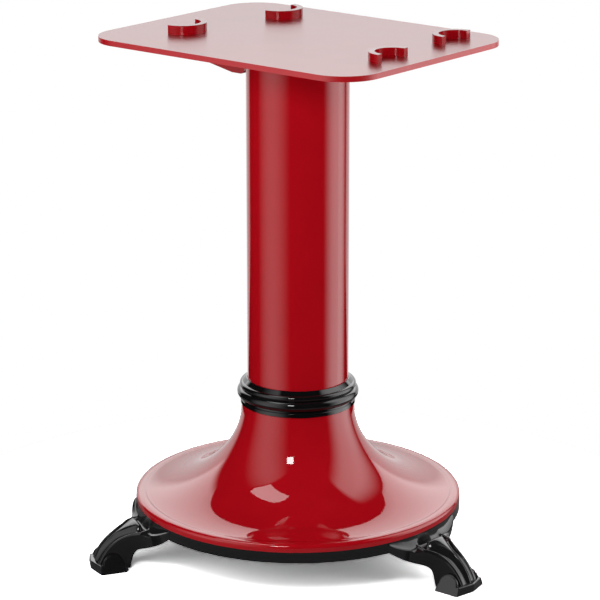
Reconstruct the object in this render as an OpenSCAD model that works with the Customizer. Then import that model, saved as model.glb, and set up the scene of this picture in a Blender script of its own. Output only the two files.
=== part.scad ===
// Pedestal stand for a flywheel meat slicer.
// A flat steel plate with four half-ring lugs sits on a tubular column. The column
// stands on a trumpet-shaped cast base with a moulded collar at its neck, and the base
// stands on an iron ring carried by three scrolled feet.
// Millimetres, +Z up. The origin is on the floor, on the column's axis. +X runs along
// the plate's length towards the first foot.

/* [Top plate] */
// Height of the plate's top above the floor
stand_h = 777; // [720:1:860]
// Length of the plate, along X
plate_l = 494; // [470:2:540]
// Width of the plate, along Y
plate_w = 384; // [360:2:420]
// Thickness of the plate
plate_t = 8; // [6:0.5:12]
// Radius of the plate's corners
plate_corner_r = 58; // [30:1:75]

/* [Locating lugs] */
// Inside radius of a half ring
lug_bore_r = 25.5; // [22:0.5:29]
// Wall of a half ring
lug_wall = 9; // [6:0.5:12]
// Height of a half ring above the plate
lug_h = 13; // [8:0.5:20]
// Front left lug, distance from the column's axis along X
lug_fl_x = 161.5; // [150:0.5:175]
// Front left lug, distance from the column's axis along Y
lug_fl_y = 66; // [55:0.5:75]
// Rear left lug, distance from the column's axis along X
lug_rl_x = 127.5; // [115:0.5:140]
// Rear left lug, distance from the column's axis along Y
lug_rl_y = 114.5; // [105:0.5:125]
// Front right lug, distance from the column's axis along X
lug_fr_x = 209.5; // [200:0.5:212]
// Front right lug, distance from the column's axis along Y
lug_fr_y = 49.5; // [42:0.5:60]
// Rear right lug, distance from the column's axis along X
lug_rr_x = 201; // [190:0.5:208]
// Rear right lug, distance from the column's axis along Y
lug_rr_y = 111.5; // [100:0.5:122]

/* [Plate rib] */
// Thickness of the rib
rib_t = 8; // [5:0.5:12]
// Depth of the rib below the plate at its inner end
rib_h = 59; // [40:1:70]
// Depth of the rib below the plate at its outer tip
rib_tip_h = 39; // [30:1:50]
// Distance of the rib's outer tip from the column's axis
rib_reach = 222; // [180:1:230]
// Length of the straight lower edge at the rib's inner end
rib_flat_l = 24; // [12:1:40]
// Radius of the rib's inner lower corner
rib_corner_r = 8; // [3:1:12]

/* [Column] */
// Outside radius of the column
column_r = 75.5; // [70:0.5:79]
// Wall of the column
column_wall = 3; // [2:0.5:6]
// Radius of the flange at the column's head
head_r = 95; // [93:0.5:97]
// Thickness of the flange at the column's head
head_t = 8; // [6:0.5:14]
// Radius of the hole in the middle of the head flange
head_hole_r = 45; // [30:1:55]
// Number of screws through the head flange
head_screw_count = 6; // [4:1:8]
// Thickness of the plug in the column's foot
plug_t = 18; // [14:1:30]

/* [Collar] */
// Height of the collar
collar_h = 38; // [34:1:44]
// Radius of the collar's lower band
collar_band_r = 86; // [85:0.5:89]
// Height of the collar's lower band
collar_band_h = 5; // [3:0.5:6]
// Radius of the collar's main bead, measured across the section
main_bead_r = 8; // [6:0.5:9]
// Distance of the main bead's outermost line from the column's axis
main_bead_reach = 91; // [89:0.5:94]
// Height of the main bead's centre above the collar's seat
main_bead_z = 16.5; // [14:0.5:18]
// Radius of the collar's upper bead, measured across the section
upper_bead_r = 4.5; // [3:0.5:5.5]
// Distance of the upper bead's outermost line from the column's axis
upper_bead_reach = 87; // [85:0.5:89]
// Height of the upper bead's centre above the collar's seat
upper_bead_z = 28; // [26:0.5:30]
// Width of the collar's lip where it meets the column
collar_lip = 1.6; // [1:0.1:3]

/* [Base] */
// Height of the base's neck above the floor
neck_z = 225; // [212:1:242]
// Outside radius of the base at its neck
neck_r = 84.5; // [83:0.5:85]
// Height of the straight part of the neck
neck_straight = 4; // [2:0.5:8]
// Radius of the curve under the neck
neck_sweep_r = 100; // [80:1:120]
// Slope of the flare, in degrees from upright
flare_angle = 27.5; // [24:0.5:32]
// Radius of the curve from the flare into the disc
foot_sweep_r = 45; // [35:1:55]
// Fall of the disc towards its rim, in degrees
disc_fall = 2.5; // [1:0.5:4]
// Outside radius of the base's rim
rim_r = 244.7; // [235:0.5:255]
// Height of the rim from the ring to the top of its lip
rim_h = 9.2; // [9:0.1:12]
// Radius of the rim's rounded lip
lip_r = 3.5; // [2.5:0.5:4]
// Height of the lip above the disc
lip_rise = 2; // [1:0.5:3]
// Wall of the base casting
base_wall = 7; // [6:0.5:8]
// Thickness of the deck at the top of the base
deck_t = 14; // [10:1:20]

/* [Foot ring] */
// Height of the ring's underside above the floor
ring_z = 59; // [54:1:68]
// Thickness of the ring
ring_t = 17; // [14:0.5:22]
// Width of the ring, from its bore to its rim
ring_w = 44.7; // [38:0.1:54]
// Number of screws that hold the ring to the base
ring_screw_count = 6; // [3:3:6]
// Distance of the ring's screws and bolts in from its rim
ring_edge = 19.7; // [16:0.1:24]

/* [Feet] */
// Number of feet
foot_count = 3; // [3:1:3]
// Distance of a toe's nose from the column's axis
foot_reach = 329; // [317:1:342]
// Half width of the leg above the toe
leg_hw = 17.5; // [15:0.5:21]
// How much wider the leg gets on each side towards its root
leg_flare = 46; // [36:1:50]
// Half width of the root's two wings, which hug the ring
root_hw = 69; // [60:1:76]
// How far the wings stand out from the ring
wing_t = 9; // [7:0.5:11]
// Height of the leg's crown above the ring's underside, where it leaves the root
crown_rise = 5; // [2:0.5:8]
// How far the hollow behind the panel reaches out from the ring
cove_l = 5.5; // [4:0.5:7]
// Depth of the root's middle below the ring's underside
root_drop = 26; // [18:1:30]
// Half width of the raised panel down the middle of the leg, where it is widest
panel_hw = 10.5; // [8:0.5:12]
// Distance of the panel's round tip from the ring
panel_start = 10; // [9:0.5:14]
// Length over which the panel narrows to a ridge
panel_taper = 34; // [20:1:44]
// Distance of the beads' curled roots from the middle of the leg
curl_hw = 33; // [30:0.5:36]
// Width of the bead along each side of the leg
bead_w = 5.5; // [4:0.5:7]
// Half width of the toe
toe_hw = 32.5; // [30:0.5:36]
// Height of the ledge round the toe
toe_ledge_h = 13; // [9:0.5:16]
// Length of the toe from heel to nose
toe_l = 53; // [48:1:58]
// How far the nose stands ahead of the toe's front corners
toe_point = 7; // [5:0.5:12]
// How much the toe's rear corners are cut off
heel_cut = 4; // [3:0.5:11]
// How far the toe's sides lean in, in degrees from upright
toe_lean = 19; // [10:1:24]
// Radius of the round boss on each side of the toe
toe_boss_r = 16.5; // [14:0.5:18]
// Thickness of a boss
toe_boss_t = 5.5; // [4:0.5:8]
// Depth of the grooves between the leg's panel and its beads
groove_d = 7.5; // [7:0.5:9]
// Thickness of the tongue under the ring
tongue_t = 12; // [10:0.5:16]
// Width of the tongue under the ring
tongue_w = 56; // [52:1:60]

/* [Fasteners] */
// Radius of the head flange's screws
head_screw_r = 4; // [3:0.5:4]
// Radius of the bolt in the middle of the base
centre_bolt_r = 10; // [8:0.5:12]
// Radius of the screws between ring and base
ring_screw_r = 3; // [2.5:0.5:4]
// Radius of the feet's bolts
foot_bolt_r = 5; // [4:0.5:6]
// Distance between the two bolts of a foot
foot_bolt_pitch = 34; // [28:1:40]
// Radius of the dowel that stops the column from turning
dowel_r = 4; // [3:0.5:5]

/* [Fits] */
// Gap left round every screw, bolt and dowel
hole_gap = 0.3; // [0.2:0.1:0.6]
// Gap between curved faces that seat on each other
seat_gap = 0.3; // [0.2:0.1:0.5]

/* [Hidden] */

$fn = 96;
RED = "#9d0715";
BLACK = "#16171a";
STEEL = "#a9abad";

// Cut-outs run past the faces that they open by this much
past = 1;

// Levels, from the top down
plate_z = stand_h - plate_t;
head_z = plate_z - head_t;
rim_z = ring_z + ring_t;
deck_z = neck_z - deck_t;

ring_bore_r = rim_r - ring_w;
ring_pitch_r = rim_r - ring_edge;

// The rib starts just clear of the head flange
rib_start = head_r + 3;

// Proportions of a hexagon head and of a washer, from the thread's radius
function hex_r(r) = 1.84 * r;
function hex_h(r) = 1.3 * r;
function washer_r(r) = 2 * r;
function washer_t(r) = 0.2 * r + 0.8;

// Points on an arc: centre, radius, first and last angle, number of steps
function arc(c, r, a0, a1, n) =
    [for (i = [0:n]) let (a = a0 + (a1 - a0) * i / n) c + r * [cos(a), sin(a)]];

// Point at t on a cubic Bezier curve
function bezier(p, t) =
    pow(1 - t, 3) * p[0] + 3 * pow(1 - t, 2) * t * p[1] + 3 * (1 - t) * t * t * p[2]
    + pow(t, 3) * p[3];

// Puts its children at one foot's place: 0 is on +X, the others follow anticlockwise
module at_foot(i) {
    rotate([0, 0, i * 360 / foot_count]) children();
}

// Copies its children on a circle, the first at angle a0
module ring_of(count, radius, a0 = 0) {
    for (i = [0:count - 1]) rotate([0, 0, a0 + i * 360 / count]) translate([radius, 0, 0]) children();
}

// A hexagon screw that points up, with its head's bearing face at z = 0
module hex_screw(r, l) {
    cylinder(r = r, h = l);
    translate([0, 0, -hex_h(r)]) cylinder(r = hex_r(r), h = hex_h(r), $fn = 6);
}

// A flat washer whose top face is at z = 0
module washer(r) {
    translate([0, 0, -washer_t(r)]) difference() {
        cylinder(r = washer_r(r), h = washer_t(r));
        translate([0, 0, -past]) cylinder(r = r + hole_gap, h = washer_t(r) + 2 * past);
    }
}

// Flat plate with round corners, centred on the axis
module round_plate(l, w, r, t) {
    linear_extrude(height = t) {
        square([l - 2 * r, w], center = true);
        square([l, w - 2 * r], center = true);
        for (sx = [-1, 1], sy = [-1, 1]) translate([sx * (l / 2 - r), sy * (w / 2 - r)]) circle(r = r);
    }
}

// Head screws: the thread reaches this far into the plate
head_bite = plate_t * 0.7;
head_pitch_r = column_r + (head_r - column_r) / 2;

module top_plate() {
    color(RED) difference() {
        translate([0, 0, plate_z]) round_plate(plate_l, plate_w, plate_corner_r, plate_t);
        translate([0, 0, plate_z - past]) ring_of(head_screw_count, head_pitch_r, 90)
            cylinder(r = head_screw_r + hole_gap, h = head_bite + past + hole_gap);
    }
}

// Half ring that keeps a slicer foot from sliding; side is the way it opens, -1 or 1 on X
module lug(x, y, side) {
    outer_r = lug_bore_r + lug_wall;
    color(RED) translate([x, y, stand_h]) difference() {
        cylinder(r = outer_r, h = lug_h);
        translate([0, 0, -past]) cylinder(r = lug_bore_r, h = lug_h + 2 * past);
        translate([side > 0 ? 0 : -outer_r - past, -outer_r - past, -past])
            cube([outer_r + past, 2 * (outer_r + past), lug_h + 2 * past]);
    }
}

module lug_front_left() lug(-lug_fl_x, -lug_fl_y, -1);
module lug_rear_left() lug(-lug_rl_x, lug_rl_y, -1);
module lug_front_right() lug(lug_fr_x, -lug_fr_y, 1);
module lug_rear_right() lug(lug_rr_x, lug_rr_y, 1);

// Upright stiffener welded under the plate's left half, deepest beside the column
module plate_rib() {
    outline = concat(
        [[rib_start, 0], [rib_reach, 0], [rib_reach, -rib_tip_h], [rib_start + rib_flat_l, -rib_h]],
        arc([rib_start + rib_corner_r, -rib_h + rib_corner_r], rib_corner_r, 270, 180, 8)
    );
    color(RED) translate([0, rib_t / 2, plate_z]) rotate([90, 0, 0])
        linear_extrude(height = rib_t) mirror([1, 0]) polygon(outline);
}

module head_flange() {
    color(RED) translate([0, 0, head_z]) difference() {
        cylinder(r = head_r, h = head_t);
        translate([0, 0, -past]) cylinder(r = head_hole_r, h = head_t + 2 * past);
        translate([0, 0, -past]) ring_of(head_screw_count, head_pitch_r, 90)
            cylinder(r = head_screw_r + hole_gap, h = head_t + 2 * past);
    }
}

module head_screws() {
    color(STEEL) translate([0, 0, head_z - washer_t(head_screw_r)])
        ring_of(head_screw_count, head_pitch_r, 90)
        hex_screw(head_screw_r, washer_t(head_screw_r) + head_t + head_bite);
}

module head_washers() {
    color(STEEL) translate([0, 0, head_z]) ring_of(head_screw_count, head_pitch_r, 90)
        washer(head_screw_r);
}

module column_tube() {
    color(RED) translate([0, 0, neck_z]) difference() {
        cylinder(r = column_r, h = head_z - neck_z);
        translate([0, 0, -past]) cylinder(r = column_r - column_wall, h = head_z - neck_z + 2 * past);
    }
}

// Dowel: half its length is in the plug and half in the deck
dowel_l = deck_t * 1.2;
dowel_at = (column_r - column_wall) * 0.6;
bolt_bite = plug_t * 0.85;

module column_plug() {
    color(STEEL) translate([0, 0, neck_z]) difference() {
        cylinder(r = column_r - column_wall - seat_gap, h = plug_t);
        translate([0, 0, -past]) cylinder(r = centre_bolt_r + hole_gap, h = bolt_bite + past + hole_gap);
        translate([dowel_at, 0, -past]) cylinder(r = dowel_r + hole_gap, h = dowel_l / 2 + past + hole_gap);
    }
}

module centre_bolt() {
    color(STEEL) translate([0, 0, deck_z - washer_t(centre_bolt_r)])
        hex_screw(centre_bolt_r, washer_t(centre_bolt_r) + deck_t + bolt_bite);
}

module centre_washer() {
    color(STEEL) translate([0, 0, deck_z]) washer(centre_bolt_r);
}

module column_dowel() {
    color(STEEL) translate([dowel_at, 0, neck_z - dowel_l / 2]) cylinder(r = dowel_r, h = dowel_l);
}

// Turned moulding: a flat band, a large bead, a small bead and a sloping lip
module collar_ring() {
    bore_r = column_r + seat_gap;
    core_r = upper_bead_reach - upper_bead_r;
    color(BLACK) translate([0, 0, neck_z]) rotate_extrude() {
        polygon([
            [bore_r, 0], [collar_band_r, 0], [collar_band_r, collar_band_h],
            [core_r + upper_bead_r / 2, collar_band_h + 1.5], [core_r + upper_bead_r / 2, upper_bead_z],
            [core_r, upper_bead_z + upper_bead_r], [bore_r + collar_lip, collar_h], [bore_r, collar_h]
        ]);
        translate([main_bead_reach - main_bead_r, main_bead_z]) circle(r = main_bead_r);
        translate([core_r, upper_bead_z]) circle(r = upper_bead_r);
    }
}

// The base's outline. Both sweeps curve round centres outside the casting, so its inside
// has the same centres and a radius that is larger by the wall.
lip_c = [rim_r - lip_r, rim_z + rim_h - lip_r];
disc_edge = [lip_c[0] - lip_r, rim_z + rim_h - lip_rise];
disc_angle = 90 - disc_fall;
neck_c = [neck_r + neck_sweep_r, neck_z - neck_straight];
flare_dir = [sin(flare_angle), -cos(flare_angle)];
flare_normal = [cos(flare_angle), sin(flare_angle)];
disc_normal = [cos(disc_angle), sin(disc_angle)];
flare_start = neck_c - neck_sweep_r * flare_normal;
// The straight flare is as long as it takes for the disc to meet the rim
sweep_step = foot_sweep_r * (flare_normal - disc_normal);
flare_l = ((flare_start[1] + sweep_step[1] - disc_edge[1])
           - (disc_edge[0] - flare_start[0] - sweep_step[0]) * tan(disc_fall))
          / (cos(flare_angle) - sin(flare_angle) * tan(disc_fall));
foot_c = flare_start + flare_l * flare_dir + foot_sweep_r * flare_normal;

// One side of the casting, from the neck to the end of the lower sweep; depth is how far
// inside the outer face it lies
function flare_side(depth) = concat(
    arc(neck_c, neck_sweep_r + depth, 180, 180 + flare_angle, 14),
    arc(foot_c, foot_sweep_r + depth, 180 + flare_angle, 180 + disc_angle, 16)
);

// The flat underside of the rim reaches in past the ring's bore by the wall
rim_pad_r = ring_bore_r - base_wall;
inner_end = foot_c - (foot_sweep_r + base_wall) * disc_normal;
pad_top = inner_end[1] - (rim_pad_r - inner_end[0]) * tan(disc_fall);

module base_bell() {
    outer = flare_side(0);
    inner = [for (p = flare_side(base_wall)) if (p[1] < deck_z) p];
    outline = concat(
        [[0, neck_z], [neck_r, neck_z]],
        outer,
        [disc_edge],
        arc(lip_c, lip_r, 140, 0, 10),
        [[rim_r, rim_z], [rim_pad_r, rim_z], [rim_pad_r, pad_top]],
        [for (i = [len(inner) - 1:-1:0]) inner[i]],
        [[inner[0][0], deck_z], [0, deck_z]]
    );
    color(RED) difference() {
        rotate_extrude() polygon(outline);
        translate([0, 0, deck_z - past]) cylinder(r = centre_bolt_r + hole_gap, h = deck_t + 2 * past);
        translate([dowel_at, 0, neck_z - dowel_l / 2 - hole_gap])
            cylinder(r = dowel_r + hole_gap, h = dowel_l + past);
        translate([0, 0, rim_z - past]) ring_of(ring_screw_count, ring_pitch_r, 30)
            cylinder(r = ring_screw_r + hole_gap, h = ring_bite + past + hole_gap);
    }
}

// Ring screws sit in counterbores, so their heads stay inside the ring
ring_bite = (rim_h - lip_rise) * 0.75;
bore_depth = hex_h(ring_screw_r) + washer_t(ring_screw_r) + 1;
ring_land_z = ring_z + bore_depth;
foot_bite = ring_t * 0.7;

module foot_ring() {
    edge = 1.2;
    color(BLACK) difference() {
        rotate_extrude() polygon([
            [ring_bore_r, ring_z], [rim_r - edge, ring_z], [rim_r, ring_z + edge],
            [rim_r, rim_z], [ring_bore_r, rim_z]
        ]);
        translate([0, 0, ring_z - past]) ring_of(ring_screw_count, ring_pitch_r, 30) {
            cylinder(r = ring_screw_r + hole_gap, h = ring_t + 2 * past);
            cylinder(r = washer_r(ring_screw_r) + 1, h = bore_depth + past);
        }
        for (i = [0:foot_count - 1], side = [-1, 1]) at_foot(i)
            translate([ring_pitch_r, side * foot_bolt_pitch / 2, ring_z - past])
            cylinder(r = foot_bolt_r + hole_gap, h = foot_bite + past + hole_gap);
    }
}

module ring_screws() {
    color(STEEL) translate([0, 0, ring_land_z - washer_t(ring_screw_r)])
        ring_of(ring_screw_count, ring_pitch_r, 30)
        hex_screw(ring_screw_r, washer_t(ring_screw_r) + rim_z - ring_land_z + ring_bite);
}

module ring_washers() {
    color(STEEL) translate([0, 0, ring_land_z]) ring_of(ring_screw_count, ring_pitch_r, 30)
        washer(ring_screw_r);
}

// A foot's leg in side view. Its crown falls from the root to the toe's ledge and its back
// goes from the root's underside down to the heel.
root_x = rim_r + seat_gap;
toe_x = foot_reach - toe_l;
leg_run = foot_reach - root_x;
root_low = ring_z - root_drop;
crown_z = ring_z + crown_rise;
crown_line = [
    [root_x, crown_z - 5], [root_x + 0.36 * leg_run, crown_z + 2],
    [root_x + 0.78 * leg_run, 0.78 * crown_z], [foot_reach - toe_point + 1, toe_ledge_h - 1]
];
back_line = [
    [root_x, root_low], [root_x + 0.24 * leg_run, 0.91 * root_low],
    [root_x + 0.3 * leg_run, 0.91 * root_low], [toe_x - 2, 0]
];

// Parts of the crown, from its middle outwards: the raised panel, the groove beside it, the
// bead, and the bead's outer flank, which widens into a wing at the root. Each pair is the
// number of strips that a part has and the name of the line where it ends.
PANEL = 0;
GROOVE = 1;
BEAD = 2;
FLANK = 3;
crown_strips = [4, 6, 6, 4];
crown_cuts = concat([[PANEL, 0]],
    [for (part = [PANEL:FLANK], i = [1:crown_strips[part]]) [part, i / crown_strips[part]]]);
back_strips = (len(crown_cuts) - 1) / 2;
leg_steps = 36;

// How far the bead's foot lies below the panel's crest, and the bead's height above its foot
bead_foot = -6.5;
bead_h = 2.5;
// Least width of the bead's outer flank, and its slope
flank = 1.2;
flank_slope = 0.4;
// The panel's crest falls this far to its sides, and swells this far up behind its tip
panel_fall = 1.5;
panel_swell = 3;
// Length of the panel's round tip, and half the width of the ridge that it narrows to
tip_l = 10;
ridge_hw = 1.5;

// Rows of the leg's skin stand closer together near the ring, where its form changes fast
function row_t(i) = pow(i / leg_steps, 1.5);
// 0 at the ring, 1 from the distance l on, rising like a quarter of an ellipse
function round_rise(d, l) = let (s = 1 - min(1, max(0, d / l))) sqrt(1 - s * s);
// Swells to 1 at the middle m, with the width w
function swell(d, m, w) = exp(-pow((d - m) / w, 2));

// Half width of the leg at a distance d out from the ring, and of the whole root
function leg_half(d) = leg_hw + leg_flare * exp(-d / 18.5);
function wing_half(d) = d < wing_t ? root_hw * sqrt(1 - pow(d / wing_t, 4)) : 0;
function half_width(d) = pow(pow(leg_half(d), 6) + pow(wing_half(d), 6), 1 / 6);
// Lines that the crown's parts end at, as distances from its middle
function panel_line(d) = let (taper = min(1, max(0, (d - panel_start - tip_l / 2) / panel_taper)))
    ridge_hw + (panel_hw - ridge_hw) * round_rise(d - panel_start, tip_l) * pow(1 - taper, 1.5);
function bead_line(d) = min(leg_half(d) - flank, curl_hw - 10 * (1 - round_rise(d, wing_t - 1)));
function part_line(part, d) =
    part == PANEL ? panel_line(d) : part == GROOVE ? bead_line(d) - bead_w
    : part == BEAD ? bead_line(d) : half_width(d);
// The root follows the ring's round wall
function hug(y) = root_x - sqrt(root_x * root_x - y * y);

// Height of the crown's parts against the crown line, at a distance d from the ring; s runs
// from 0 to 1 across the part. The groove falls like a cove and rises again at the bead.
function groove_low(d) = -groove_d - 3 * swell(d, 12, 7);
function panel_edge(d) = let (n = round_rise(d - panel_start, tip_l))
    n * (panel_swell * swell(d, 21, 12) - panel_fall) + (1 - n) * groove_low(d);
function groove(s, edge, low) = let (m = 0.7)
    s < m ? edge + (low - edge) * sin(90 * s / m)
    : low + (bead_foot - low) * (1 - cos(90 * (s - m) / (1 - m)));
function relief(part, s, d) =
    let (edge = panel_edge(d))
    part == PANEL ? edge + panel_fall * round_rise(d - panel_start, tip_l) * (1 - s * s)
    : part == GROOVE ? groove(s, edge, groove_low(d))
    : part == BEAD ? bead_foot + bead_h * sqrt(1 - pow(2 * s - 1, 2))
    : bead_foot - flank_slope * s * (half_width(d) - bead_line(d));

// The greater of two heights, with the corner between them rounded off
function round_max(a, b) = (a + b + sqrt(pow(a - b, 2) + 4)) / 2;

// Height of the hollow between the ring's top and the root: it is steep behind the panel,
// and past the bead's inner side it runs out to the edge of the wings
root_top = rim_z - 1;
function hollow(y, d) =
    let (inner = root_top - (root_top - ring_z + 3) * round_rise(d, cove_l) - 2 * max(0, d - cove_l),
         edge = ring_z - 1.5 + 12 * pow(max(0, abs(y) - 42) / (root_hw - 41), 1.5),
         outer = root_top - (root_top - edge) * round_rise(d, wing_t) - 2 * max(0, d - wing_t),
         soft = bead_w + 4, q = min(1, max(0, (abs(y) - bead_line(d) + soft) / soft)))
    inner + (outer - inner) * q * q * (3 - 2 * q);

function crown_point(t, cut, side) =
    let (c = bezier(crown_line, t), d = c[0] - root_x, part = cut[0], s = cut[1],
         y0 = part == PANEL ? 0 : part_line(part - 1, d),
         y = side * (y0 + (part_line(part, d) - y0) * s))
    [c[0] - hug(y), y, round_max(c[1] + relief(part, s, d), hollow(y, d))];

function back_point(t, v) =
    let (c = bezier(crown_line, t), b = bezier(back_line, t), y = v * half_width(c[0] - root_x),
         lift = max(0, (abs(y) - leg_hw) / (root_hw - leg_hw)))
    [b[0] - hug(y), y, b[1] + (root_drop - 1) * pow(lift, 1.7)];

// Skin of the leg: a fine grid of points over the crown and a coarser one under the back,
// joined along their sides and at both ends
module leg() {
    half = len(crown_cuts);
    n = 2 * half - 1;
    m = back_strips + 1;
    step = (n - 1) / back_strips;
    crown = [for (i = [0:leg_steps], j = [0:n - 1])
        crown_point(row_t(i), crown_cuts[abs(j - half + 1)], sign(j - half + 1))];
    back = [for (i = [0:leg_steps], j = [0:m - 1]) back_point(row_t(i), 2 * j / back_strips - 1)];
    b = len(crown);
    crown_end = leg_steps * n;
    back_end = b + leg_steps * m;
    faces = concat(
        [for (i = [0:leg_steps - 1], j = [0:n - 2]) let (a = i * n + j)
            each [[a, a + 1, a + n], [a + 1, a + n + 1, a + n]]],
        [for (i = [0:leg_steps - 1], j = [0:m - 2]) let (a = b + i * m + j)
            each [[a, a + m, a + 1], [a + 1, a + m, a + m + 1]]],
        [for (i = [0:leg_steps - 1]) let (a = i * n, c = b + i * m)
            each [[a, a + n, c], [a + n, c + m, c]]],
        [for (i = [0:leg_steps - 1]) let (a = i * n + n - 1, c = b + i * m + m - 1)
            each [[a, c, a + n], [a + n, c, c + m]]],
        [for (j = [0:n - 2]) let (k = floor((j + step / 2) / step)) each [
            [j, b + k, j + 1], [crown_end + j, crown_end + j + 1, back_end + k]
        ]],
        [for (k = [0:back_strips - 1]) let (j = ceil((k + 0.5) * step)) each [
            [j, b + k, b + k + 1], [crown_end + j, back_end + k + 1, back_end + k]
        ]]
    );
    polyhedron(points = concat(crown, back), faces = faces, convexity = 6);
}

// The toe's outline, seen from above, from the heel and its corners to the front corners.
// The nose is on the axis.
function toe_outline(heel_x, heel_hw, side_x, side_hw, z) = let (
    half = [[heel_x, heel_hw], [side_x, side_hw], [foot_reach - toe_point, side_hw]]
) concat([for (p = half) [p[0], -p[1], z]], [[foot_reach, 0, z]],
         [for (i = [2:-1:0]) [half[i][0], half[i][1], z]]);

// Toe: a pointed block whose sides lean in, and a round boss that stands on each side
module toe() {
    corner_x = foot_reach - toe_point;
    ledge_hw = toe_hw - toe_ledge_h * tan(toe_lean);
    sole = toe_outline(toe_x + heel_cut, toe_hw - heel_cut, toe_x + 1.5 * heel_cut, toe_hw, 0);
    ledge = toe_outline(toe_x + 2 * heel_cut, leg_hw, toe_x + 2.2 * heel_cut, ledge_hw, toe_ledge_h);
    n = len(sole);
    polyhedron(points = concat(sole, ledge), faces = concat(
        [[for (i = [0:n - 1]) i]],
        [[for (i = [n - 1:-1:0]) n + i]],
        [for (i = [0:n - 1]) let (k = (i + 1) % n) each [[i, n + i, k], [k, n + i, n + k]]]
    ));
    difference() {
        for (side = [-1, 1]) translate([0, side * toe_hw, 0]) rotate([side * toe_lean, 0, 0])
            translate([0, -side * toe_boss_t / 2, 0]) rotate([90, 0, 0]) toe_boss(corner_x);
        translate([toe_x - past, -toe_hw - past, -toe_boss_t])
            cube([toe_l + 2 * past, 2 * (toe_hw + past), toe_boss_t]);
    }
}

// Boss in side view, with a step round its faces
module toe_boss(corner_x) {
    step = 1.6;
    heel_x = toe_x + 1.5 * heel_cut;
    centre = [(heel_x + corner_x) / 2, toe_boss_r - 4];
    for (layer = [[0, toe_boss_t - 2 * step], [step, toe_boss_t]])
        linear_extrude(height = layer[1], center = true) polygon(concat(
            [[heel_x, 0], [corner_x, 0], [corner_x, toe_ledge_h - 2]],
            arc(centre, toe_boss_r - layer[0], 0, 180, 16)
        ));
}

// Tongue that goes under the ring, where two bolts hold the foot. It runs this far into the leg.
tongue_grip = 0.8;
module tongue() {
    start = ring_bore_r + 2;
    translate([start, -tongue_w / 2, ring_z - tongue_t])
        cube([root_x + tongue_grip - start, tongue_w, tongue_t]);
}

module foot() {
    color(BLACK) difference() {
        union() {
            leg();
            toe();
            tongue();
        }
        for (side = [-1, 1])
            translate([ring_pitch_r, side * foot_bolt_pitch / 2, ring_z - tongue_t - past])
            cylinder(r = foot_bolt_r + hole_gap, h = tongue_t + 2 * past);
    }
}

module foot_right() at_foot(0) foot();
module foot_rear_left() at_foot(1) foot();
module foot_front_left() at_foot(2) foot();

module foot_bolts() {
    color(STEEL) for (i = [0:foot_count - 1], side = [-1, 1]) at_foot(i)
        translate([ring_pitch_r, side * foot_bolt_pitch / 2, ring_z - tongue_t - washer_t(foot_bolt_r)])
        hex_screw(foot_bolt_r, washer_t(foot_bolt_r) + tongue_t + foot_bite);
}

module foot_washers() {
    color(STEEL) for (i = [0:foot_count - 1], side = [-1, 1]) at_foot(i)
        translate([ring_pitch_r, side * foot_bolt_pitch / 2, ring_z - tongue_t]) washer(foot_bolt_r);
}

top_plate();
lug_front_left();
lug_rear_left();
lug_front_right();
lug_rear_right();
plate_rib();
head_flange();
head_screws();
head_washers();
column_tube();
column_plug();
centre_bolt();
centre_washer();
column_dowel();
collar_ring();
base_bell();
foot_ring();
ring_screws();
ring_washers();
foot_right();
foot_front_left();
foot_rear_left();
foot_bolts();
foot_washers();
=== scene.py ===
# Looks of the pedestal stand for a meat slicer: red and black gloss paint over steel and
# cast iron, lit by large soft panels. Lengths are in metres, +Z is up, and the origin is on
# the floor under the column.
import math

import bmesh
import bpy
from mathutils import Matrix, Vector


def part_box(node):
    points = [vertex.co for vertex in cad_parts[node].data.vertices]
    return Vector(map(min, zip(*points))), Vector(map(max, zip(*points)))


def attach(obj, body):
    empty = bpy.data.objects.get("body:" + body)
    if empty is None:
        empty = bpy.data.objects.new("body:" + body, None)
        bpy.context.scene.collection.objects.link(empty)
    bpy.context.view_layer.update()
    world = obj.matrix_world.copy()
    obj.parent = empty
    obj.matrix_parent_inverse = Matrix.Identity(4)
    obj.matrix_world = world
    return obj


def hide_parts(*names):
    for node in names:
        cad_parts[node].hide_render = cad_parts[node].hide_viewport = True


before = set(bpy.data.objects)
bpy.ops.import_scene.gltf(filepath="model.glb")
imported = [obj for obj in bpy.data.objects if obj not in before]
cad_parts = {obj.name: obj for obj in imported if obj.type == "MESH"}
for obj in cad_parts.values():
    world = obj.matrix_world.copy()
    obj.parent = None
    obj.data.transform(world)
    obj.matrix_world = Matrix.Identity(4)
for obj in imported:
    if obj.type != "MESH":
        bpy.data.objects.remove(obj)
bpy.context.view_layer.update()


# Feet: three castings of grey iron, dressed with a file and then enamelled black. Each has
# a root that hugs the ring, a leg with a raised panel between two beads, and a pointed toe
# with a round boss on each side. A tongue under the ring takes its two bolts.
MM = 0.001
foot_turns = {"foot_right": 0, "foot_rear_left": 120, "foot_front_left": 240}
ring_low, ring_high = [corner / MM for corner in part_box("foot_ring")]
foot_low, foot_high = [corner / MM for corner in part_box("foot_right")]

# A foot's sizes, in millimetres. The ring and the foot's reach come from the frame.
ring_z = ring_low.z
root_gap = 0.3
root_x = ring_high.x + root_gap
root_top = foot_high.z
root_half = foot_high.y
root_low = ring_z - 26
foot_reach = foot_high.x
leg_run = foot_reach - root_x
leg_narrow = 17.5
leg_flare = 46
flare_fade = 18.5
wing_out = 9
wing_lift = 25
cove_out = 5.5
toe_x = foot_reach - 53
toe_half = 32.5
toe_point = 7
toe_corner_x = foot_reach - toe_point
toe_lean = math.radians(19)
ledge_z = 13
heel_cut = 4
heel_x = toe_x + 1.4 * heel_cut

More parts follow.
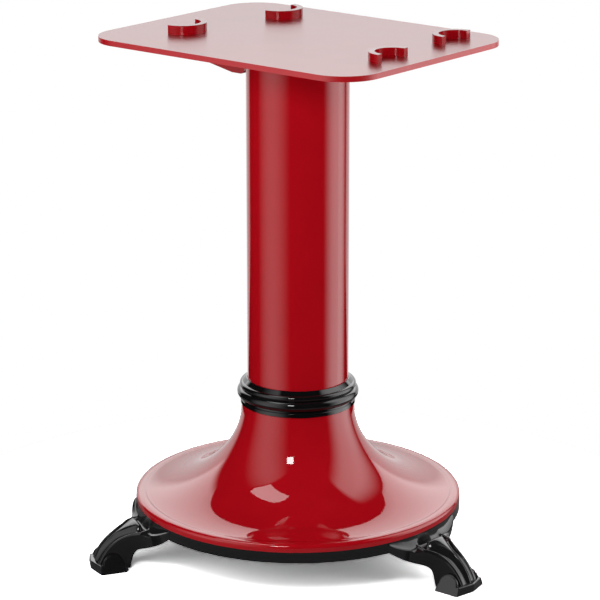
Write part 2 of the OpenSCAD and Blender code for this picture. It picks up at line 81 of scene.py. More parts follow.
# The leg in side view, as two curves of four points: its crown falls from the root to the
# toe, and its back goes from the root's underside down to the heel
crown_line = [
    (root_x, ring_z + 7), (root_x + 0.34 * leg_run, ring_z + 4.5),
    (root_x + 0.78 * leg_run, 0.78 * (ring_z + 5)), (toe_corner_x + 1, ledge_z - 1)]
back_line = [
    (root_x, root_low), (root_x + 0.24 * leg_run, 0.91 * root_low),
    (root_x + 0.27 * leg_run, 0.91 * root_low), (toe_x - 3, 0)]


def curve_point(line, t):
    """A point of the curve through a line's first and last point, drawn to the other two."""
    weights = ((1 - t) ** 3, 3 * t * (1 - t) ** 2, 3 * t * t * (1 - t), t ** 3)
    return [sum(w * point[axis] for w, point in zip(weights, line)) for axis in (0, 1)]


def clamp(value):
    """The value, kept between 0 and 1."""
    return min(1, max(0, value))


def round_rise(d, length):
    """0 at the start and 1 from a length on, rising like a quarter of an ellipse."""
    return math.sqrt(1 - (1 - clamp(d / length)) ** 2)


def swell(d, middle, width):
    """Rises softly to 1 at its middle."""
    return math.exp(-((d - middle) / width) ** 2)


# Lines along the leg, as distances from its middle, at a distance d out from the ring. The
# panel narrows to a ridge, and the beads curl in behind its round tip.
panel_half = 17
panel_start = 6
panel_tip = 10
panel_taper = 38
taper_bend = 1.3
ridge_half = 1.5
bead_w = 5.5
curl_half = 33
curl_in = 10
flank_least = 1.2


def leg_half(d):
    """Half width of the leg."""
    return leg_narrow + leg_flare * math.exp(-d / flare_fade)


def half_width(d):
    """Half width of the leg with the two wings of its root, which run into it softly."""
    wing = root_half * math.sqrt(1 - (d / wing_out) ** 4) if d < wing_out else 0
    power = 6
    return (leg_half(d) ** power + wing ** power) ** (1 / power)


def panel_line(d):
    """Half width of the raised panel."""
    taper = clamp((d - panel_start - panel_tip / 2) / panel_taper)
    full = (panel_half - ridge_half) * round_rise(d - panel_start, panel_tip)
    return ridge_half + full * (1 - taper) ** taper_bend


def bead_line(d):
    """Outer side of the bead."""
    curl = curl_half - curl_in * (1 - round_rise(d, wing_out - 1))
    return min(leg_half(d) - flank_least, curl)


def bead_start(d):
    """Inner side of the bead."""
    return bead_line(d) - bead_w


# Relief of the crown across each of its parts, as heights against the crown line. Each is
# given at the share s of the part's width and a distance d out from the ring.
panel_fall = 1.5
tip_rise = 2.5
tip_middle, tip_reach = 12, 16
groove_h = -7.5
curl_depth = 3
curl_middle, curl_reach = 9, 7
bead_foot = -6.5
bead_h = 2.5
flank_slope = 0.4


def groove_low(d):
    """Lowest height of the groove, which is deepest behind the curl."""
    return groove_h - curl_depth * swell(d, curl_middle, curl_reach)


def panel_edge(d):
    """Height of the panel's edge, which swells behind the round tip."""
    near = round_rise(d - panel_start, panel_tip)
    swollen = tip_rise * swell(d, tip_middle, tip_reach) - panel_fall
    return near * swollen + (1 - near) * groove_low(d)


def panel_relief(s, d):
    """The panel is crowned."""
    return panel_edge(d) + panel_fall * round_rise(d - panel_start, panel_tip) * (1 - s * s)


def groove_relief(s, d):
    """The groove falls from the panel like a cove and rises again to the foot of the bead."""
    edge, low, middle = panel_edge(d), groove_low(d), 0.7
    if s < middle:
        return edge + (low - edge) * math.sin(math.pi / 2 * s / middle)
    return low + (bead_foot - low) * (1 - math.cos(math.pi / 2 * (s - middle) / (1 - middle)))


def bead_relief(s, d):
    """The bead is half round."""
    return bead_foot + bead_h * math.sqrt(1 - (2 * s - 1) ** 2)


def flank_relief(s, d):
    """The flank slopes down from the bead to the leg's side."""
    return bead_foot - flank_slope * s * (half_width(d) - bead_line(d))


# The crown's parts from its middle outwards: the lines that each lies between, its relief
# and the number of strips across it
crown_parts = [
    (lambda d: 0, panel_line, panel_relief, 10),
    (panel_line, bead_start, groove_relief, 14),
    (bead_start, bead_line, bead_relief, 12),
    (bead_line, half_width, flank_relief, 10)]


def hug(y):
    """How far the ring's round wall lies behind its foremost point."""
    return root_x - math.sqrt(root_x ** 2 - y ** 2)


# The hollow behind the panel goes down below the ring's lower face. Past the bead it ends
# at the edge of the wings, which rises towards their tips.
cove_low = 3
wing_edge_z = ring_z - 1.5
wing_tip_rise = 12
wing_flat = 42
wing_span = root_half - 41
hollow_fall = 2
join_soft = 2


def hollow(y, d):
    """Height of the hollow between the ring's top and the root. It is steep behind the
    panel, and past the bead it runs out to the edge of the wings."""
    inner = root_top - (root_top - ring_z + cove_low) * round_rise(d, cove_out)
    inner -= hollow_fall * max(0, d - cove_out)
    rim = wing_edge_z + wing_tip_rise * (max(0, abs(y) - wing_flat) / wing_span) ** 1.5
    outer = root_top - (root_top - rim) * round_rise(d, wing_out)
    outer -= hollow_fall * max(0, d - wing_out)
    soft = bead_w + 4
    share = clamp((abs(y) - bead_line(d) + soft) / soft)
    return inner + (outer - inner) * share * share * (3 - 2 * share)


def crown_point(t, part, s, side):
    """A point of the crown, at the share s of the way across one of its parts. The crown
    or the hollow counts, whichever is higher there, with a soft change between them."""
    inner_line, outer_line, relief = part[:3]
    x, z = curve_point(crown_line, t)
    d = x - root_x
    y = side * (inner_line(d) + (outer_line(d) - inner_line(d)) * s)
    own, other = z + relief(s, d), hollow(y, d)
    higher = (own + other + math.sqrt((own - other) ** 2 + join_soft ** 2)) / 2
    return Vector((x - hug(y), y, higher))


def back_point(t, v):
    """A point of the leg's back, at the share v of its half width."""
    d = curve_point(crown_line, t)[0] - root_x
    x, z = curve_point(back_line, t)
    y = v * half_width(d)
    lift = max(0, (abs(y) - leg_narrow) / (root_half - leg_narrow))
    return Vector((x - hug(y), y, z + wing_lift * lift ** 1.7))


def soften(outline, corner, reach):
    """Puts a small arc in place of a corner of a closed outline."""
    here, before = outline[corner], outline[corner - 1]
    after = outline[(corner + 1) % len(outline)]
    steps, most = 4, 0.8
    start = here + (before - here).normalized() * min(reach, (before - here).length * most)
    end = here + (after - here).normalized() * min(reach, (after - here).length * most)
    arc = []
    for i in range(steps + 1):
        t = i / steps
        arc.append(start * (1 - t) ** 2 + here * 2 * t * (1 - t) + end * t * t)
    return outline[:corner] + arc + outline[corner + 1:]


def leg_outline(t):
    """The leg's closed outline at the share t of its length: over the crown from left to
    right, and under the back again, with its four long edges rounded off."""
    crown = [crown_point(t, part, i / part[3], 1)
             for part in crown_parts for i in range(1, part[3] + 1)]
    middle = crown_point(t, crown_parts[0], 0, 1)
    mirrored = [Vector((p.x, -p.y, p.z)) for p in reversed(crown)]
    back_strips = 20
    back = [back_point(t, 1 - 2 * i / back_strips) for i in range(back_strips + 1)]
    outline = mirrored + [middle] + crown + back
    back_round, crown_round = 1.2, 1.4
    crown_end = 2 * len(crown)
    outline = soften(outline, len(outline) - 1, back_round)
    outline = soften(outline, crown_end + 1, back_round)
    outline = soften(outline, crown_end, crown_round)
    return soften(outline, 0, crown_round)


def mesh_from(name, points, faces):
    """A mesh of points and of faces that count them."""
    mesh = bpy.data.meshes.new(name)
    mesh.from_pydata([tuple(point) for point in points], [], faces)
    return mesh


def leg_mesh():
    """The leg, as a closed skin through its outlines, which lie closer at the root."""
    rows, crowding = 120, 1.5
    outlines = [leg_outline((i / rows) ** crowding) for i in range(rows + 1)]
    size = len(outlines[0])
    points = [point for outline in outlines for point in outline]
    faces = [(i * size + j, i * size + (j + 1) % size,
              (i + 1) * size + (j + 1) % size, (i + 1) * size + j)
             for i in range(rows) for j in range(size)]
    faces.append(list(reversed(range(size))))
    faces.append([rows * size + j for j in range(size)])
    return mesh_from("leg", points, faces)


def prism(name, low, high, bevel):
    """A solid between two outlines with as many points. A bevel rounds off all its edges."""
    n = len(low)
    faces = [list(reversed(range(n))), [n + i for i in range(n)]]
    faces += [(i, (i + 1) % n, n + (i + 1) % n, n + i) for i in range(n)]
    mesh = mesh_from(name, low + high, faces)
    shape = bmesh.new()
    shape.from_mesh(mesh)
    bmesh.ops.recalc_face_normals(shape, faces=shape.faces)
    if bevel:
        bmesh.ops.bevel(shape, geom=shape.edges[:], offset=bevel, segments=3, profile=0.6,
                        affect="EDGES", clamp_overlap=True)
    shape.to_mesh(mesh)
    shape.free()
    return mesh


def toe_mesh():
    """The toe's block: its sides lean in, its heel's corners are cut off, and its nose is
    pointed."""
    def outline(back_x, back_half, side_x, side_half, z):
        half = [(back_x, back_half), (side_x, side_half), (toe_corner_x, side_half)]
        return ([(x, -y, z) for x, y in half] + [(foot_reach, 0, z)]
                + [(x, y, z) for x, y in reversed(half)])
    toe_edge = 1.5
    ledge_half = toe_half - ledge_z * math.tan(toe_lean)
    sole = outline(toe_x + 1, toe_half - 2 * heel_cut, heel_x, toe_half, 0)
    ledge = outline(toe_x + 2 * heel_cut, leg_narrow, toe_x + 2.2 * heel_cut, ledge_half, ledge_z)
    return prism("toe", sole, ledge, toe_edge)


# The round boss on each side of the toe has two layers. The smaller one stands out by as
# much as its edge lies in.
boss_r = 16.5
boss_x = (heel_x + toe_corner_x) / 2
boss_z = 12.5
boss_thick = 5.5
boss_step = 1.6
boss_edge = 0.5


def boss_mesh(side, step):
    """One layer of a boss, which leans in with the toe's side and ends on the floor."""
    half = boss_thick / 2 if step else boss_thick / 2 - boss_step
    outline = [(heel_x, 0), (toe_corner_x, 0), (toe_corner_x, ledge_z - 2)]
    arc_steps = 40
    for i in range(arc_steps + 1):
        turn = math.pi * i / arc_steps
        outline.append((boss_x + (boss_r - step) * math.cos(turn),
                        boss_z + (boss_r - step) * math.sin(turn)))
    low = [(x, -half, z) for x, z in outline]
    high = [(x, half, z) for x, z in outline]
    mesh = prism("boss", low, high, boss_edge)
    place = Matrix.Translation((0, side * toe_half, 0)) @ Matrix.Rotation(side * toe_lean, 4, "X")
    mesh.transform(place @ Matrix.Translation((0, -side * boss_thick / 2, 0)))
    shape = bmesh.new()
    shape.from_mesh(mesh)
    cut = bmesh.ops.bisect_plane(shape, geom=shape.verts[:] + shape.edges[:] + shape.faces[:],
                                 plane_co=(0, 0, 0), plane_no=(0, 0, -1), clear_outer=True)
    rim = [edge for edge in cut["geom_cut"] if isinstance(edge, bmesh.types.BMEdge)]
    bmesh.ops.contextual_create(shape, geom=rim)
    bmesh.ops.recalc_face_normals(shape, faces=shape.faces)
    shape.to_mesh(mesh)
    shape.free()
    return mesh


def box_mesh(low, high, bevel):
    """A block between two corners."""
    corners = [(low[0], low[1]), (high[0], low[1]), (high[0], high[1]), (low[0], high[1])]
    return prism("block", [(x, y, low[2]) for x, y in corners],
                 [(x, y, high[2]) for x, y in corners], bevel)


def rod_mesh(x, y, radius, low_z, high_z):
    """A plain rod, which cuts a hole."""
    sides = 48
    turns = [2 * math.pi * i / sides for i in range(sides)]
    outline = [(x + radius * math.cos(a), y + radius * math.sin(a)) for a in turns]
    return prism("rod", [(px, py, low_z) for px, py in outline],
                 [(px, py, high_z) for px, py in outline], 0)


def merge(first, steps):
    """The first mesh with others joined to it or cut from it."""
    base = bpy.data.objects.new("base", first)
    bpy.context.scene.collection.objects.link(base)
    tools = []
    for operation, mesh in steps:
        tool = bpy.data.objects.new("tool", mesh)
        bpy.context.scene.collection.objects.link(tool)
        tools.append(tool)
        change = base.modifiers.new("change", "BOOLEAN")
        change.operation = operation
        change.solver = "MANIFOLD"
        change.object = tool
    seen = base.evaluated_get(bpy.context.evaluated_depsgraph_get())
    result = bpy.data.meshes.new_from_object(seen)
    for thing in [base] + tools:
        bpy.data.objects.remove(thing)
    return result


# The tongue lies under the ring and runs a little into the leg. Two bolts pass through it.
tongue_low = ring_z - 12
tongue_half = 28
tongue_lap = 0.8
tongue_edge = 0.8
bolt_x = ring_high.x - 19.7
bolt_half = 17
bolt_hole_r = 5.5
tongue = box_mesh((foot_low.x, -tongue_half, tongue_low),
                  (root_x + tongue_lap, tongue_half, ring_z), tongue_edge)
parts = [("UNION", toe_mesh())]
parts += [("UNION", boss_mesh(side, step)) for side in (-1, 1) for step in (0, boss_step)]
parts.append(("UNION", tongue))
for side in (-1, 1):
    hole = rod_mesh(bolt_x, side * bolt_half, bolt_hole_r, tongue_low - 1, ring_z + 1)
    parts.append(("DIFFERENCE", hole))
foot_mesh = merge(leg_mesh(), parts)
foot_mesh.transform(Matrix.Scale(MM, 4))


def linear(colour):
    """An sRGB hex colour as the linear values that the shaders take."""
    channels = [int(colour[i:i + 2], 16) / 255 for i in (1, 3, 5)]
    return [c / 12.92 if c <= 0.04045 else ((c + 0.055) / 1.055) ** 2.4 for c in channels] + [1]


def add_node(tree, kind, settings, links=()):
    """Adds a node. Settings name its own options or its sockets, and links name sockets."""
    node = tree.nodes.new("ShaderNode" + kind)
    for name, value in settings.items():
        if isinstance(name, str) and hasattr(node, name):
            setattr(node, name, value)
        else:
            node.inputs[name].default_value = value
    for name, source in dict(links).items():
        tree.links.new(source, node.inputs[name])
    return node


def new_material(name):
    """An empty material, with its node tree and its output node."""
    material = bpy.data.materials.new(name)
    material.use_nodes = True
    material.node_tree.nodes.clear()
    return material, material.node_tree, add_node(material.node_tree, "OutputMaterial", {})


def enamel(name, colour, grain, grain_depth, wave, wave_depth, coat_rough):
    """A coloured layer under a hard clear gloss. Grain is the size of its orange peel, or of
    the casting's skin that shows through, and wave that of the slow unevenness under it, with
    which the colour varies a little. The layer under the gloss is half matt."""
    material, tree, output = new_material(name)
    place = add_node(tree, "TexCoord", {})
    fine = add_node(tree, "TexNoise", {"Scale": 1 / grain, "Detail": 3},
                    {"Vector": place.outputs["Object"]})
    slow = add_node(tree, "TexNoise", {"Scale": 1 / wave, "Detail": 1},
                    {"Vector": place.outputs["Object"]})
    slow_bump = add_node(tree, "Bump", {"Strength": 1, "Distance": wave_depth},
                         {"Height": slow.outputs["Fac"]})
    bump = add_node(tree, "Bump", {"Strength": 1, "Distance": grain_depth},
                    {"Height": fine.outputs["Fac"], "Normal": slow_bump.outputs["Normal"]})
    shade = add_node(tree, "MapRange", {"To Min": 0.94, "To Max": 1.06},
                     {"Value": slow.outputs["Fac"]})
    tint = add_node(tree, "HueSaturation", {"Color": linear(colour)},
                    {"Value": shade.outputs["Result"]})
    rough = add_node(tree, "MapRange", {"To Min": 0.3, "To Max": 0.42},
                     {"Value": fine.outputs["Fac"]})
    shader = add_node(tree, "BsdfPrincipled",
                      {"IOR": 1.45, "Specular IOR Level": 0, "Coat Weight": 1,
                       "Coat Roughness": coat_rough, "Coat IOR": 1.5},
                      {"Base Color": tint.outputs["Color"], "Roughness": rough.outputs["Result"],
                       "Normal": bump.outputs["Normal"], "Coat Normal": bump.outputs["Normal"]})
    tree.links.new(shader.outputs["BSDF"], output.inputs["Surface"])
    return material


# Black stoving enamel over cast iron: a gloss that the fine skin of the sand mould softens,
# and that runs over the slow unevenness of the casting
black_casting = enamel("black_enamelled_cast_iron", "#1b1b1c", grain=0.0025, grain_depth=0.00002,
                       wave=0.014, wave_depth=0.00025, coat_rough=0.13)


def add_piece(name, mesh, material, node):
    """A piece of the object that takes the place of a CAD node."""
    mesh.materials.clear()
    mesh.materials.append(material)
    mesh.shade_smooth()
    mesh.set_sharp_from_angle(angle=math.radians(38))
    piece = bpy.data.objects.new(name, mesh)
    bpy.context.scene.collection.objects.link(piece)
    shading = piece.modifiers.new("even_shading", "WEIGHTED_NORMAL")
    shading.keep_sharp = True
    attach(piece, "root")
    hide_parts(node)
    return piece


for node, turn in foot_turns.items():
    mesh = foot_mesh.copy()
    mesh.transform(Matrix.Rotation(math.radians(turn), 4, "Z"))
    add_piece(node + "_casting", mesh, black_casting, node)


# Foot ring: a flat ring of cast iron, turned on its outside and enamelled black. The feet
# are bolted to it from below, and six screws hold it up against the base.
def paint(nodes, material):
    """Gives CAD nodes a material in all their slots."""
    for name in nodes:
        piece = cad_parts[name]
        if not piece.material_slots:
            piece.data.materials.append(material)
        for place in piece.material_slots:
            place.material = material


# Black stoving enamel on turned iron: deep black, with a hard and even gloss
black_enamel = enamel("black_stoving_enamel", "#0f0f10", grain=0.003, grain_depth=0.00001,
                      wave=0.04, wave_depth=0.0001, coat_rough=0.04)
paint(["foot_ring"], black_enamel)


# Screws, bolts and washers of the feet and the ring: zinc-plated steel, turned and
# threaded, with hexagon heads that sit under the ring where nobody sees them
def steel(name, colour, roughness, grain):
    """Bare or plated steel, a little uneven in its roughness."""
    material, tree, output = new_material(name)
    place = add_node(tree, "TexCoord", {})
    fine = add_node(tree, "TexNoise", {"Scale": 1 / grain, "Detail": 4},
                    {"Vector": place.outputs["Object"]})
    spread, grain_depth = 0.08, 0.00002
    rough = add_node(tree, "MapRange",
                     {"To Min": roughness - spread, "To Max": roughness + spread},
                     {"Value": fine.outputs["Fac"]})
    bump = add_node(tree, "Bump", {"Strength": 1, "Distance": grain_depth},
                    {"Height": fine.outputs["Fac"]})
    shader = add_node(tree, "BsdfPrincipled", {"Base Color": linear(colour), "Metallic": 1},
                      {"Roughness": rough.outputs["Result"], "Normal": bump.outputs["Normal"]})
    tree.links.new(shader.outputs["BSDF"], output.inputs["Surface"])
    return material


# Bright zinc plating: a pale metal with a soft, slightly cloudy shine
zinc_steel = steel("zinc_plated_steel", "#b9bbbd", roughness=0.35, grain=0.002)
paint(["ring_screws", "ring_washers", "foot_bolts", "foot_washers"], zinc_steel)


# Base: a trumpet-shaped casting of grey iron that runs out into a disc with a low rolled
# rim, open below. Its outside is filled, rubbed down and sprayed with red gloss enamel, and
# its inside is left in dark primer.
bell_low, bell_high = [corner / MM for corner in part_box("base_bell")]

# Sizes in millimetres, and slopes in degrees from upright. The neck and the disc are two
# arcs of one trumpet, which meet at the slope sweep_turn. Under the rim is a flat seat, with
# which the base stands on the ring.
neck_r = 84.5
neck_z = bell_high.z
neck_sweep = 118
sweep_turn = 36
disc_sweep = 165
disc_turn = 86
rim_r = bell_high.x
rim_z = bell_low.z
rim_seat = 32
bell_wall = 7
bore_r = 10.5
deck_z = neck_z - 14
bell_sides = 256


def sweep(start, radius, turn, end_turn, steps):
    """Points of a hollow arc from a start, between two slopes in degrees from upright."""
    turns = [math.radians(turn + (end_turn - turn) * i / steps) for i in range(steps + 1)]
    middle = (start[0] + radius * math.cos(turns[0]), start[1] + radius * math.sin(turns[0]))
    return [(middle[0] - radius * math.cos(a), middle[1] - radius * math.sin(a)) for a in turns]


def bell_outline():
    """The casting's section as (radius, height) pairs: outside first, from the bore in the
    deck over the neck to the rim, then back along the inside."""
    neck = sweep((neck_r, neck_z - 1), neck_sweep, 0, sweep_turn, 40)
    disc = sweep(neck[-1], disc_sweep, sweep_turn, disc_turn, 60)[1:]
    trumpet = neck + disc
    end_r, end_z = disc[-1]
    # The rim rises softly from the disc and rolls over to its outer side
    crown = [(end_r, end_z), (end_r + 2, end_z + 0.5),
             (end_r + 6, end_z + 0.9), (rim_r - 4.7, end_z + 0.2)]
    edge = [crown[-1], (rim_r - 1.7, end_z - 0.7),
            (rim_r, end_z - 2.5), (rim_r, end_z - 5.5)]
    steps = 8
    rim = [curve_point(line, i / steps) for line in (crown, edge) for i in range(1, steps + 1)]
    outside = [(bore_r, neck_z), (neck_r - 1, neck_z)] + trumpet + rim
    # The inside follows the trumpet at the wall's thickness, from the rim's seat to the deck
    inside = [(rim_r, rim_z), (end_r - rim_seat, rim_z), (end_r - rim_seat - 2, end_z - 5)]
    for (r, z), (next_r, next_z) in reversed(list(zip(trumpet[:-1], trumpet[1:]))):
        across = Vector((next_z - z, r - next_r)).normalized()
        r, z = r + bell_wall * across.x, z + bell_wall * across.y
        if r < end_r - rim_seat - 8 and z < deck_z - 2:
            inside.append((r, z))
    inside += [(inside[-1][0], deck_z), (bore_r, deck_z)]
    return outside, inside


def revolved(name, outline, sides):
    """A solid of revolution about the column's axis, with a closed outline."""
    size = len(outline)
    turns = [2 * math.pi * i / sides for i in range(sides)]
    points = [(r * math.cos(a), r * math.sin(a), z) for a in turns for r, z in outline]
    faces = [(i * size + j, (i + 1) % sides * size + j,
              (i + 1) % sides * size + (j + 1) % size, i * size + (j + 1) % size)
             for i in range(sides) for j in range(size)]
    mesh = mesh_from(name, points, faces)
    mesh.transform(Matrix.Scale(MM, 4))
    return mesh


# Red gloss enamel on a filled and rubbed casting: a hard wet gloss, so even that it mirrors
# the room, with a faint slow unevenness left from the sand mould
enamel_red = "#b40d19"
red_casting = enamel("red_enamelled_casting", enamel_red, grain=0.004, grain_depth=0.00001,
                     wave=0.05, wave_depth=0.00015, coat_rough=0.035)

outside, inside = bell_outline()
bell_mesh = revolved("base_casting", outside + inside, bell_sides)
bell = add_piece("base_casting", bell_mesh, red_casting, "base_bell")

# Dark primer, brown-black: flat and dusty, over the grains of sand in the casting's skin
sand_grain, sand_depth = 0.0015, 0.00015
primer, tree, output = new_material("dark_primer")
place = add_node(tree, "TexCoord", {})
sand = add_node(tree, "TexNoise", {"Scale": 1 / sand_grain, "Detail": 4},
                {"Vector": place.outputs["Object"]})
bump = add_node(tree, "Bump", {"Strength": 1, "Distance": sand_depth},
                {"Height": sand.outputs["Fac"]})
rough = add_node(tree, "MapRange", {"To Min": 0.6, "To Max": 0.85},
                 {"Value": sand.outputs["Fac"]})
shader = add_node(tree, "BsdfPrincipled", {"Base Color": linear("#2b2624"), "IOR": 1.45},
                  {"Roughness": rough.outputs["Result"], "Normal": bump.outputs["Normal"]})
tree.links.new(shader.outputs["BSDF"], output.inputs["Surface"])
bell.data.materials.append(primer)
section = len(outside) + len(inside)
for face in bell.data.polygons:
    if face.index % section >= len(outside):
        face.material_index = 1


# Column foot: a plug of turned steel, pressed into the column, and a dowel beside it. One
# bolt through the base holds the plug, and a black moulding hides the seam.

# Turned steel with a film of oil: a grey metal, finely scored by the tool and fairly bright
turned_steel = steel("turned_steel", "#a3a5a8", roughness=0.28, grain=0.001)
paint(["column_plug", "column_dowel"], turned_steel)
paint(["centre_bolt", "centre_washer"], zinc_steel)
paint(["collar_ring"], black_enamel)


# Column: a steel tube of 151 mm, with a flange on its head that six screws hold under the
# plate. Both are sprayed with red gloss enamel.

# Red stove enamel on drawn tube: the same deep gloss as the base, over a truer surface
red_paint = enamel("red_stove_enamel", enamel_red, grain=0.003, grain_depth=0.00001,
                   wave=0.06, wave_depth=0.0001, coat_rough=0.03)
paint(["column_tube", "head_flange"], red_paint)
paint(["head_screws", "head_washers"], zinc_steel)


# Plate: flat steel with round corners and a rib welded under its left half, sprayed red.
# Four half rings that are welded on its top keep the slicer's feet in place.

# Red satin enamel: the same red, with a soft sheen in which the lugs show no mirror image
plate_paint = enamel("red_satin_enamel", enamel_red, grain=0.003, grain_depth=0.00001,
                     wave=0.06, wave_depth=0.0001, coat_rough=0.3)
paint(["top_plate"], plate_paint)
paint(["lug_front_left", "lug_rear_left", "lug_front_right", "lug_rear_right"], red_paint)
paint(["plate_rib"], red_paint)


# Camera: stands 3.8 m from the column, to the right of its front, and looks 16 degrees down
# through a long lens. Its place comes from the perspective of the photograph.
camera_place = (2.419, -2.979, 1.514)
camera_down = math.radians(16.45)
camera_turn = math.radians(39.03)
camera_lens = 161.62
camera_data = bpy.data.cameras.new("camera")
camera_data.lens = camera_lens
camera_data.sensor_width = 36
camera = bpy.data.objects.new("camera", camera_data)
camera.location = camera_place
camera.rotation_euler = (math.pi / 2 - camera_down, 0, camera_turn)
bpy.context.scene.collection.objects.link(camera)
bpy.context.scene.camera = camera


# Studio: a round white floor in a dark tent, with white cards that the gloss mirrors and
# soft lamps in front of them. Directions are angles from the line to the camera, seen from
# above, positive to the camera's right.
def place_round(angle, distance, height):
    """A point at an angle from the line to the camera."""
    turn = camera_turn - math.pi / 2 + math.radians(angle)
    return Vector((distance * math.cos(turn), distance * math.sin(turn), height))


def soft_lamp(name, place, width, height, radiance, aim, mirrored=False):
    """A soft panel lamp at a place, facing the point aim. The camera doesn't see it, and the
    gloss mirrors it only if told so."""
    data = bpy.data.lights.new(name, "AREA")
    data.shape = "RECTANGLE"
    data.size = width
    data.size_y = height
    data.energy = radiance * math.pi * width * height
    lamp = bpy.data.objects.new(name, data)
    lamp.location = place
    lamp.rotation_euler = (place - Vector(aim)).to_track_quat("Z", "Y").to_euler()
    lamp.visible_camera = False
    lamp.visible_glossy = mirrored
    bpy.context.scene.collection.objects.link(lamp)


def stage_piece(name, points, faces, material, only_mirrored=False):
    """A piece of the studio. What is only mirrored casts no light or shadow of its own."""
    mesh = mesh_from(name, points, faces)
    mesh.materials.append(material)
    piece = bpy.data.objects.new(name, mesh)
    bpy.context.scene.collection.objects.link(piece)
    if only_mirrored:
        piece.visible_camera = False
        piece.visible_diffuse = False
        piece.visible_shadow = False


def card(name, angle, distance, width, side_fade, levels):
    """An upright white card that only the gloss mirrors. Its levels are (height, radiance)
    pairs from foot to head, and it fades out to its sides over a share of its half width."""
    low, high = levels[0][0], levels[-1][0]
    peak = max(level for height, level in levels)
    material, tree, output = new_material(name)
    place = add_node(tree, "TexCoord", {})
    share = add_node(tree, "SeparateXYZ", {}, {"Vector": place.outputs["Generated"]})
    side = add_node(tree, "Math", {"operation": "PINGPONG", 1: 0.5}, {0: share.outputs["X"]})
    fade = add_node(tree, "MapRange",
                    {"interpolation_type": "SMOOTHSTEP", "From Max": side_fade / 2},
                    {"Value": side.outputs[0]})
    strength = add_node(tree, "Math", {"operation": "MULTIPLY", 1: peak},
                        {0: fade.outputs["Result"]})
    ramp = add_node(tree, "ValToRGB", {}, {"Fac": share.outputs["Z"]})
    stops = ramp.color_ramp.elements
    for height, level in levels[1:-1]:
        stops.new((height - low) / (high - low))
    for stop, (height, level) in zip(stops, levels):
        stop.color = [level / peak] * 3 + [1]
    glow = add_node(tree, "Emission", {},
                    {"Color": ramp.outputs["Color"], "Strength": strength.outputs[0]})
    tree.links.new(glow.outputs[0], output.inputs["Surface"])
    points = [(x * width / 2, 0, z) for x, z in ((-1, low), (1, low), (1, high), (-1, high))]
    turn = camera_turn + math.radians(angle)
    place = Matrix.Translation(place_round(angle, distance, 0)) @ Matrix.Rotation(turn, 4, "Z")
    stage_piece(name, [place @ Vector(point) for point in points], [(0, 1, 2, 3)], material,
                only_mirrored=True)


# The side cards give the column its two long reflections. The plate and the disc mirror the
# far card, which is brighter the higher up it is.
card("left_card", angle=-57, distance=1.3, width=2.34, side_fade=1.0,
     levels=[(-0.9, 1.35), (1.6, 1.35), (2.3, 1.1), (2.5, 0)])
card("right_card", angle=95, distance=1.3, width=2.03, side_fade=0.8,
     levels=[(-0.9, 2.8), (1.4, 2.8), (2.2, 2.4), (2.5, 0)])
card("back_card", angle=180, distance=8, width=18, side_fade=0.3,
     levels=[(-2.6, 0.9), (-0.3, 1.0), (1.2, 1.3), (2.25, 1.5), (2.45, 1.8),
             (3.0, 2.9), (7, 3.0), (9, 2.5)])

# The side lamps light the stand evenly from the front, the back lamp lights what the camera
# doesn't see, and the small key lamp shows as the square highlight on the base
soft_lamp("left_lamp", place_round(-50, 1.4, 0.7),
          width=1.5, height=1.1, radiance=2.3, aim=(0, 0, 0.5))
soft_lamp("right_lamp", place_round(80, 1.4, 0.7),
          width=1.5, height=1.1, radiance=2.5, aim=(0, 0, 0.5))
soft_lamp("back_lamp", place_round(180, 1.9, 0.45),
          width=2.6, height=0.8, radiance=1.6, aim=(0, 0, 0.4))
soft_lamp("key_lamp", place_round(-14, 1.36, 1.26),
          width=0.28, height=0.28, radiance=22, aim=(0, 0, 0.2), mirrored=True)

# A ceiling panel to the camera's left, which the base mirrors as a small trapezoid. Its
# corners are (angle, distance) pairs.
ceiling_z = 2.5
ceiling_corners = [(-30, 0.5), (-90, 0.45), (-97, 1.5), (-62, 1.7)]
ceiling, tree, output = new_material("ceiling_panel")
glow = add_node(tree, "Emission", {"Color": (1, 1, 1, 1), "Strength": 5})
tree.links.new(glow.outputs[0], output.inputs["Surface"])
stage_piece("ceiling_panel",
            [place_round(angle, distance, ceiling_z) for angle, distance in ceiling_corners],
            [(0, 1, 2, 3)], ceiling, only_mirrored=True)

# Black velvet: the tent's cloth, which gives back next to no light
velvet, tree, output = new_material("black_velvet")
cloth = add_node(tree, "BsdfDiffuse", {"Color": (0.01, 0.01, 0.01, 1)})
tree.links.new(cloth.outputs[0], output.inputs["Surface"])
tent_half, tent_low, tent_high = 13, -3, 12
corners = [(-1, -1), (1, -1), (1, 1), (-1, 1)]
tent_points = [(x * tent_half, y * tent_half, z)
               for z in (tent_low, tent_high) for x, y in corners]
tent_faces = [(0, 1, 2, 3), (7, 6, 5, 4), (0, 4, 5, 1),
              (1, 5, 6, 2), (2, 6, 7, 3), (3, 7, 4, 0)]
stage_piece("dark_tent", tent_points, tent_faces, velvet, only_mirrored=True)

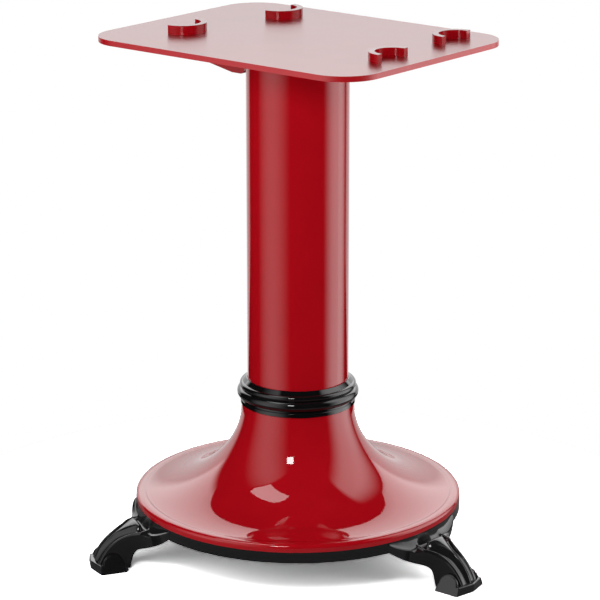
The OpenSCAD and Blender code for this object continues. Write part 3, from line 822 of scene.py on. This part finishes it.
# White paper on the floor. The camera sees it brighter than it is, so that it is pure white
# like the surround, and only the shadow under the stand shows. Towards its edge it glows
# for the camera, so that no edge shows.
floor_r = 0.62
floor_sides = 96
paper_given, paper_seen = 0.3, 3.7
glow_start, glow_full = 0.4, floor_r - 0.03
paper, tree, output = new_material("white_paper")
ray = add_node(tree, "LightPath", {})
shade = add_node(tree, "MapRange", {"To Min": paper_given, "To Max": paper_seen},
                 {"Value": ray.outputs["Is Camera Ray"]})
tone = add_node(tree, "CombineColor", {}, {"Red": shade.outputs["Result"],
                                           "Green": shade.outputs["Result"],
                                           "Blue": shade.outputs["Result"]})
sheet = add_node(tree, "BsdfDiffuse", {}, {"Color": tone.outputs["Color"]})
place = add_node(tree, "TexCoord", {})
radius = add_node(tree, "VectorMath", {"operation": "LENGTH"}, {0: place.outputs["Object"]})
edge = add_node(tree, "MapRange", {"interpolation_type": "SMOOTHSTEP",
                                   "From Min": glow_start, "From Max": glow_full},
                {"Value": radius.outputs["Value"]})
edge = add_node(tree, "Math", {"operation": "MULTIPLY"},
                {0: edge.outputs["Result"], 1: ray.outputs["Is Camera Ray"]})
glow = add_node(tree, "Emission", {"Color": (1, 1, 1, 1)}, {"Strength": edge.outputs[0]})
both = add_node(tree, "AddShader", {}, {0: sheet.outputs[0], 1: glow.outputs[0]})
tree.links.new(both.outputs[0], output.inputs["Surface"])
turns = [2 * math.pi * i / floor_sides for i in range(floor_sides)]
stage_piece("floor", [(floor_r * math.cos(a), floor_r * math.sin(a), 0) for a in turns],
            [tuple(range(floor_sides))], paper)

# The surround: white where it is seen, mirrored or looked at through something, and giving
# only a little light
surround_given = 0.17
world = bpy.data.worlds.new("surround")
bpy.context.scene.world = world
world.use_nodes = True
world.node_tree.nodes.clear()
tree = world.node_tree
ray = add_node(tree, "LightPath", {})
seen = add_node(tree, "Math", {"operation": "MAXIMUM"},
                {0: ray.outputs["Is Camera Ray"], 1: ray.outputs["Is Glossy Ray"]})
seen = add_node(tree, "Math", {"operation": "MAXIMUM"},
                {0: seen.outputs[0], 1: ray.outputs["Is Transmission Ray"]})
level = add_node(tree, "MapRange", {"To Min": surround_given, "To Max": 1},
                 {"Value": seen.outputs[0]})
surround = add_node(tree, "Background", {"Color": (1, 1, 1, 1)}, {"Strength": level.outputs[0]})
add_node(tree, "OutputWorld", {}, {"Surface": surround.outputs[0]})

bpy.context.scene.view_settings.view_transform = "Standard"
